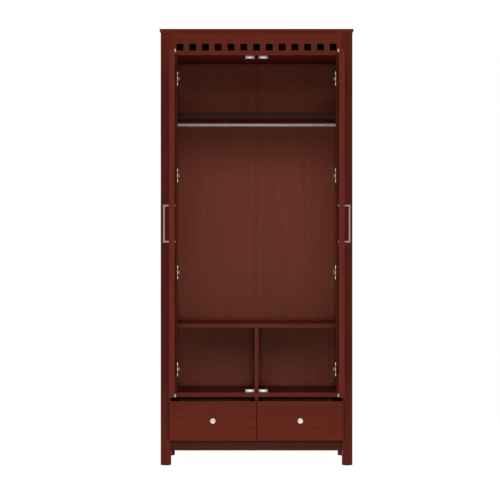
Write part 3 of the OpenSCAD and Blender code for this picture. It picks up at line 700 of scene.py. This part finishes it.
def turn_outline(name, outline, segments=24):
    shape = bmesh.new()
    rings = []
    for radius, height in outline:
        if radius == 0:
            rings.append([shape.verts.new((0, 0, height))])
            continue
        ring = []
        for step in range(segments):
            angle = 2 * math.pi * step / segments
            ring.append(shape.verts.new((radius * math.cos(angle), radius * math.sin(angle), height)))
        rings.append(ring)
    for upper, lower in zip(rings, rings[1:]):
        for step in range(segments):
            after = (step + 1) % segments
            if len(upper) == 1:
                shape.faces.new((upper[0], lower[step], lower[after]))
            elif len(lower) == 1:
                shape.faces.new((upper[step], lower[0], upper[after]))
            else:
                shape.faces.new((upper[step], lower[step], lower[after], upper[after]))
    bmesh.ops.recalc_face_normals(shape, faces=shape.faces)
    mesh = bpy.data.meshes.new(name)
    shape.to_mesh(mesh)
    shape.free()
    mesh.shade_smooth()
    mesh.set_sharp_from_angle(angle=math.radians(CRISP_DEGREES))
    return mesh


print("lathe ready")

# %% [markdown]
# ## Pan head screws with a cross recess
#
# Each fixing is a pressed screw: a domed pan head, a cross recess, and a shank with a rolled
# thread that ends in a point. The thread could be a helix, but ridges one pitch apart look
# the same at this size and stay light. The recess is cut with a Boolean, once for each size of
# screw. Copies of that mesh then go where the CAD solids are: the long side of a solid gives
# the axis, and its wider end is the head.

# %% Measure a CAD screw
AXES = (Vector((1, 0, 0)), Vector((0, 1, 0)), Vector((0, 0, 1)))


def measure_screw(points):
    """The head's top, the direction out of the head, and the sizes of one CAD screw."""
    lowest, highest = box_of(points)
    size = highest - lowest
    along = max(range(3), key=lambda axis: size[axis])
    middle = (lowest + highest) / 2

    def off_axis(point):
        offset = point - middle
        return (offset - AXES[along] * offset[along]).length

    half = size[along] / 2
    up = [point for point in points if point[along] - middle[along] > half * 0.98]
    down = [point for point in points if middle[along] - point[along] > half * 0.98]
    head_up = max(map(off_axis, up)) > max(map(off_axis, down))
    sign = 1 if head_up else -1
    head = max(off_axis(point) for point in points)
    shank = max(map(off_axis, down if head_up else up))
    top = middle + AXES[along] * (sign * half)
    under = max(abs(point[along] - top[along]) for point in points if off_axis(point) > shank * 1.2)
    return top, AXES[along] * sign, (round(head, 5), round(shank, 5), round(under, 5),
                                     round(size[along], 5))


print("first screw:", measure_screw(loose_parts("cabinet_screws")[0])[2])

# %% Make one screw of a given size
THREAD_PITCH = 0.0011
RECESS_WIDTH = 0.30
RECESS_REACH = 0.62


def cross_cutter(head, head_high):
    """Two crossed wedges that cut the recess, narrower at the bottom."""
    shape = bmesh.new()
    for across, along in ((RECESS_WIDTH, RECESS_REACH * 2), (RECESS_REACH * 2, RECESS_WIDTH)):
        made = bmesh.ops.create_cube(shape, size=1.0)["verts"]
        for vert in made:
            narrow = 0.55 if vert.co.z < 0 else 1.0
            vert.co.x *= head * across * narrow
            vert.co.y *= head * along * narrow
            vert.co.z = head_high * (0.4 if vert.co.z > 0 else -0.62)
    mesh = bpy.data.meshes.new("cutter")
    shape.to_mesh(mesh)
    shape.free()
    return mesh


def screw_mesh(head, shank, head_high, length):
    outline = [(0, 0), (head * 0.45, -head_high * 0.02), (head * 0.75, -head_high * 0.12),
               (head * 0.93, -head_high * 0.35), (head, -head_high * 0.65), (head, -head_high),
               (shank * 0.9, -head_high)]
    ridges = int((length - head_high) * 0.8 / THREAD_PITCH)
    depth = -head_high - THREAD_PITCH
    for _ in range(ridges):
        outline.append((shank * 0.74, depth))
        outline.append((shank, depth - THREAD_PITCH / 2))
        depth -= THREAD_PITCH
    outline += [(shank * 0.7, depth), (0, -length)]
    body = bpy.data.objects.new("blank", turn_outline("blank", outline))
    cutter = bpy.data.objects.new("cutter", cross_cutter(head, head_high))
    for thing in (body, cutter):
        bpy.context.scene.collection.objects.link(thing)
    cut = body.modifiers.new("recess", "BOOLEAN")
    cut.operation = "DIFFERENCE"
    cut.solver = "EXACT"
    cut.use_self = True
    cut.object = cutter
    evaluated = body.evaluated_get(bpy.context.evaluated_depsgraph_get())
    mesh = bpy.data.meshes.new_from_object(evaluated)
    for thing in (body, cutter):
        bpy.data.objects.remove(thing)
    mesh.set_sharp_from_angle(angle=math.radians(CRISP_DEGREES))
    return mesh


sample = screw_mesh(0.0035, 0.00175, 0.002, 0.016)
print("one screw has", len(sample.vertices), "points")
bpy.data.meshes.remove(sample)

# %% Put a detailed screw where each CAD screw is
def dress_screws(node, rng):
    made, joined = {}, bmesh.new()
    places = [measure_screw(points) for points in loose_parts(node)]
    for top, out, sizes in places:
        if sizes not in made:
            made[sizes] = screw_mesh(*sizes)
        copy = made[sizes].copy()
        turn = Matrix.Rotation(rng.uniform(0, math.pi), 4, "Z")
        stand = out.to_track_quat("Z", "Y").to_matrix().to_4x4()
        copy.transform(Matrix.Translation(top) @ stand @ turn)
        joined.from_mesh(copy)
        bpy.data.meshes.remove(copy)
    mesh = bpy.data.meshes.new(f"{node}_cut")
    joined.to_mesh(mesh)
    joined.free()
    mesh.shade_smooth()
    mesh.set_sharp_from_angle(angle=math.radians(CRISP_DEGREES))
    add_piece(f"{node}_cut", mesh, node, METALS["screw_steel"], replaced=(node,))
    return len(places)


SCREW_SEED = 11
screw_random = random.Random(SCREW_SEED)
screw_nodes = sorted(node for node in NODES if node.endswith("screws"))
print("screws:", {node: dress_screws(node, screw_random) for node in screw_nodes})

# %% [markdown]
# ## Turned knobs
#
# Each drawer has a small nickel knob with a narrow neck, a rounded rim and a shallow dish in its
# face. The CAD knob holds the size. This one is turned from the same foot, neck and rim, with a
# finer outline: a collar at the foot, a ring cut round the dish, and a small deeper hole in the
# dish's middle.

# %% Turn the drawer knobs
RIM_ROUND = 0.0045
NECK_RADIUS = 0.0068
FOOT_RADIUS = 0.0089


def knob_outline(radius, reach):
    """From the middle of the face down to the foot."""
    rim = [(radius - RIM_ROUND + RIM_ROUND * math.sin(angle), -RIM_ROUND + RIM_ROUND * math.cos(angle))
           for angle in [math.radians(step) for step in range(0, 136, 15)]]
    dish = [(0, -0.0042), (radius * 0.17, -0.0040), (radius * 0.23, -0.0018), (radius * 0.42, -0.0012),
            (radius * 0.52, -0.0008), (radius * 0.55, -0.0013), (radius * 0.60, -0.0004)]
    waist = [(NECK_RADIUS + 0.0012, -reach * 0.46), (NECK_RADIUS, -reach * 0.56),
             (NECK_RADIUS, -reach * 0.78), (NECK_RADIUS + 0.0008, -reach * 0.86)]
    foot = [(FOOT_RADIUS - 0.0002, -reach * 0.91), (FOOT_RADIUS, -reach), (0, -reach)]
    return dish + rim + waist + foot


def turn_knob(side):
    node = f"{side}_knob"
    lowest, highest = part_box(node)
    lowest, highest = Vector(lowest), Vector(highest)
    radius = (highest.x - lowest.x) / 2
    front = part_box(f"{side}_drawer_front")[0].y
    mesh = turn_outline(f"{node}_turned", knob_outline(radius, front - lowest.y), segments=64)
    middle = (lowest + highest) / 2
    stand = Vector((0, -1, 0)).to_track_quat("Z", "Y").to_matrix().to_4x4()
    mesh.transform(Matrix.Translation((middle.x, lowest.y, middle.z)) @ stand)
    add_piece(f"{node}_turned", mesh, node, METALS["knob_nickel"], replaced=(node,))
    return round(radius * 2000, 1)


print("knob diameters in mm:", [turn_knob(side) for side in ("left", "right")])

# %% [markdown]
# ## Balls and cages in the slides
#
# A telescopic slide is three steel channels that run on rows of balls, held apart by thin
# cages. The outer cages sit at the back of the middle channel and the inner ones at
# its front, so that they stay inside both neighbours when the drawer is pulled right out. Each row
# lies in the gap between two channels, so its place comes from their boxes.

# %% Fill the slides with balls
SHEET = 0.0012
CAGE_LENGTH = 0.105
BALL_PITCH = 0.012
CAGE_THICK = 0.0005
BALL_SHARE = 0.48  # a ball's radius as a share of its gap, so that it never touches the steel


def overlap_middle(first, second, axis):
    return (max(first[0][axis], second[0][axis]) + min(first[1][axis], second[1][axis])) / 2


def add_ball(shape, place, radius):
    made = bmesh.ops.create_icosphere(shape, subdivisions=2, radius=radius)
    bmesh.ops.translate(shape, verts=made["verts"], vec=place)


def add_cage(shape, x, start, z, radius):
    """A thin strip along Y between two channels, with its edges eased."""
    made = bmesh.ops.create_cube(shape, size=1.0)["verts"]
    for vert in made:
        vert.co = Vector((x + vert.co.x * radius * 2.2, start + (vert.co.y + 0.5) * CAGE_LENGTH,
                          z + vert.co.z * CAGE_THICK))
    edges = list({edge for vert in made for edge in vert.link_edges})
    bmesh.ops.bevel(shape, geom=edges, offset=CAGE_THICK * 0.3, segments=1, affect="EDGES")


def fill_slides(side):
    node = f"{side}_slide_middles"
    rails = [box_of(points) for points in loose_parts("drawer_rails")]
    runners = [box_of(points) for points in loose_parts(f"{side}_drawer_runners")]
    shape, balls = bmesh.new(), 0
    for middle in [box_of(points) for points in loose_parts(node)]:
        def touches(other):
            return other[0].x < middle[1].x and middle[0].x < other[1].x
        rail = next(box for box in rails if touches(box))
        runner = next(box for box in runners if touches(box))
        centre = (middle[0].z + middle[1].z) / 2
        half = {name: (box[1].z - box[0].z) / 2
                for name, box in (("rail", rail), ("middle", middle), ("runner", runner))}
        rows = (
            (overlap_middle(rail, middle, 0), half["middle"], half["rail"] - SHEET,
             middle[1].y - CAGE_LENGTH - BALL_PITCH),
            (overlap_middle(runner, middle, 0), half["runner"], half["middle"] - SHEET,
             middle[0].y + BALL_PITCH),
        )
        for x, inner, outer, start in rows:
            radius = (outer - inner) * BALL_SHARE
            for up in (-1, 1):
                z = centre + up * (inner + outer) / 2
                add_cage(shape, x, start, z, radius)
                count = int(CAGE_LENGTH / BALL_PITCH)
                for step in range(count):
                    add_ball(shape, (x, start + (step + 0.5) * CAGE_LENGTH / count, z), radius)
                    balls += 1
    mesh = bpy.data.meshes.new(f"{side}_slide_balls")
    shape.to_mesh(mesh)
    shape.free()
    mesh.shade_smooth()
    mesh.set_sharp_from_angle(angle=math.radians(40))
    add_piece(f"{side}_slide_balls", mesh, node, METALS["slide_steel"])
    return balls


print("balls:", [fill_slides(side) for side in ("left", "right")])

# %% [markdown]
# ## Painted shade on the hat shelf's edge
#
# The two lower shelves show a bright front edge, but the hat shelf's edge lies in shade, nearly as
# dark as its underside. A thin dark strip on its front is painted shade: it stands in for that
# shade, not for a real lipping. It stands 0.6 mm proud, and its arrises are eased.

# %% Paint shade on the hat shelf's edge
SHADE_STRIP_THICK = 0.0006
SHADE_STRIP_SEED = 61


def paint_hat_shelf_edge_shade():
    lowest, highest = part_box("hat_shelf")
    shape = bmesh.new()
    bmesh.ops.create_cube(shape, size=1.0)
    for vert in shape.verts:
        vert.co = Vector((lowest.x if vert.co.x < 0 else highest.x,
                          lowest.y - SHADE_STRIP_THICK if vert.co.y < 0 else lowest.y,
                          lowest.z if vert.co.z < 0 else highest.z))
    bmesh.ops.bevel(shape, geom=list(shape.edges), offset=SHADE_STRIP_THICK * 0.5, segments=2,
                    affect="EDGES")
    mesh = bpy.data.meshes.new("hat_shelf_painted_shade")
    shape.to_mesh(mesh)
    shape.free()
    # Painted shade: a near-black brown for the shaded front edge.
    material = wood_material("hat_shelf_shade_strip", "X", srgb(44, 12, 5), random.Random(SHADE_STRIP_SEED))
    add_piece("hat_shelf_painted_shade", mesh, "hat_shelf", material)


paint_hat_shelf_edge_shade()

# %% [markdown]
# ## Floor
#
# The floor is a plain pale disc that melts into a white surround well before its rim, so no
# horizon cuts the picture. It glows to the eye and to reflections, but gives less light back to
# the cabinet, so that it stays white and the undersides stay dark.

# %% Floor
FLOOR_RADIUS = 6.0
FADE_FROM = 1.2
FADE_TO = 3.2
FLOOR_GREY = (0.36, 0.36, 0.36, 1.0)
FLOOR_GLOW = 0.96
FLOOR_BOUNCE = 0.35
WHITE = (1.0, 1.0, 1.0, 1.0)


def build_floor():
    mesh = bpy.data.meshes.new("floor")
    shape = bmesh.new()
    bmesh.ops.create_circle(shape, cap_ends=True, segments=96, radius=FLOOR_RADIUS)
    shape.to_mesh(mesh)
    shape.free()
    floor = bpy.data.objects.new("floor", mesh)
    bpy.context.scene.collection.objects.link(floor)
    material = bpy.data.materials.new("pale_floor")
    material.use_nodes = True
    tree = material.node_tree
    tree.nodes.clear()
    matte = add_node(tree, "ShaderNodeBsdfDiffuse", Color=FLOOR_GREY)
    glow = add_node(tree, "ShaderNodeEmission", Color=WHITE, Strength=FLOOR_GLOW)
    dim = add_node(tree, "ShaderNodeEmission", Color=WHITE, Strength=FLOOR_BOUNCE)
    path = tree.nodes.new("ShaderNodeLightPath")
    lift = tree.nodes.new("ShaderNodeMixShader")
    join(tree, path.outputs["Is Diffuse Ray"], lift.inputs[0])
    join(tree, glow.outputs[0], lift.inputs[1])
    join(tree, dim.outputs[0], lift.inputs[2])
    white = add_node(tree, "ShaderNodeEmission", Color=WHITE, Strength=1.0)
    lifted = tree.nodes.new("ShaderNodeAddShader")
    fade = tree.nodes.new("ShaderNodeMixShader")
    output = tree.nodes.new("ShaderNodeOutputMaterial")
    coordinates = tree.nodes.new("ShaderNodeTexCoord")
    reach = tree.nodes.new("ShaderNodeVectorMath")
    reach.operation = "LENGTH"
    join(tree, coordinates.outputs["Object"], reach.inputs[0])
    join(tree, matte.outputs[0], lifted.inputs[0])
    join(tree, lift.outputs[0], lifted.inputs[1])
    join(tree, map_range(tree, reach.outputs["Value"], FADE_FROM, FADE_TO), fade.inputs[0])
    join(tree, lifted.outputs[0], fade.inputs[1])
    join(tree, white.outputs[0], fade.inputs[2])
    join(tree, fade.outputs[0], output.inputs["Surface"])
    mesh.materials.append(material)


build_floor()
print("floor radius", FLOOR_RADIUS)

# %% [markdown]
# ## Light
#
# Three broad suns stand in front, one straight ahead and a weaker one out to each side. They are
# low enough to reach the back of each space, and wide enough to leave only soft shadows:
# the open doors shade the posts beside them, and each shelf shades the top of the space below it. A
# small lamp, low in front, adds a little to the lower half. The surround is white to the eye,
# weak as a light, and brighter in reflections, as pale cards round a studio would be.

# %% Light
SURROUND_LIGHT = 0.16
SURROUND_REFLECTED = 0.66


def area_light(name, place, target, width, height, watts):
    data = bpy.data.lights.new(name, "AREA")
    data.shape = "RECTANGLE"
    data.size = width
    data.size_y = height
    data.energy = watts
    lamp = bpy.data.objects.new(name, data)
    lamp.location = place
    lamp.rotation_euler = (Vector(target) - Vector(place)).to_track_quat("-Z", "Y").to_euler()
    bpy.context.scene.collection.objects.link(lamp)


def build_world():
    """White for the eye, a weak fill for the light, and studio cards for the reflections."""
    world = bpy.data.worlds.new("studio")
    world.use_nodes = True
    tree = world.node_tree
    tree.nodes.clear()
    seen = add_node(tree, "ShaderNodeBackground", Color=WHITE, Strength=1.0)
    fill = add_node(tree, "ShaderNodeBackground", Color=WHITE, Strength=SURROUND_LIGHT)
    card = add_node(tree, "ShaderNodeBackground", Color=WHITE, Strength=SURROUND_REFLECTED)
    path = tree.nodes.new("ShaderNodeLightPath")
    reflected = tree.nodes.new("ShaderNodeMixShader")
    choose = tree.nodes.new("ShaderNodeMixShader")
    output = tree.nodes.new("ShaderNodeOutputWorld")
    join(tree, path.outputs["Is Glossy Ray"], reflected.inputs[0])
    join(tree, fill.outputs[0], reflected.inputs[1])
    join(tree, card.outputs[0], reflected.inputs[2])
    join(tree, path.outputs["Is Camera Ray"], choose.inputs[0])
    join(tree, reflected.outputs[0], choose.inputs[1])
    join(tree, seen.outputs[0], choose.inputs[2])
    join(tree, choose.outputs[0], output.inputs["Surface"])
    bpy.context.scene.world = world


build_world()


def sun_light(name, to_right, height, energy, spread):
    """A broad even light. It stands some degrees round to the right and some degrees up."""
    data = bpy.data.lights.new(name, "SUN")
    data.energy = energy
    data.angle = math.radians(spread)
    lamp = bpy.data.objects.new(name, data)
    lamp.rotation_euler = (math.radians(90 - height), 0, math.radians(to_right))
    bpy.context.scene.collection.objects.link(lamp)


sun_light("front_key", to_right=0, height=22, energy=0.66, spread=26)
sun_light("left_key", to_right=-42, height=24, energy=0.20, spread=30)
sun_light("right_key", to_right=42, height=24, energy=0.20, spread=30)
area_light("front_fill", (0.0, -6.0, 0.5), (0.0, 0.0, 0.9), width=0.8, height=0.7, watts=30.0)
bpy.context.scene.view_settings.view_transform = "Standard"
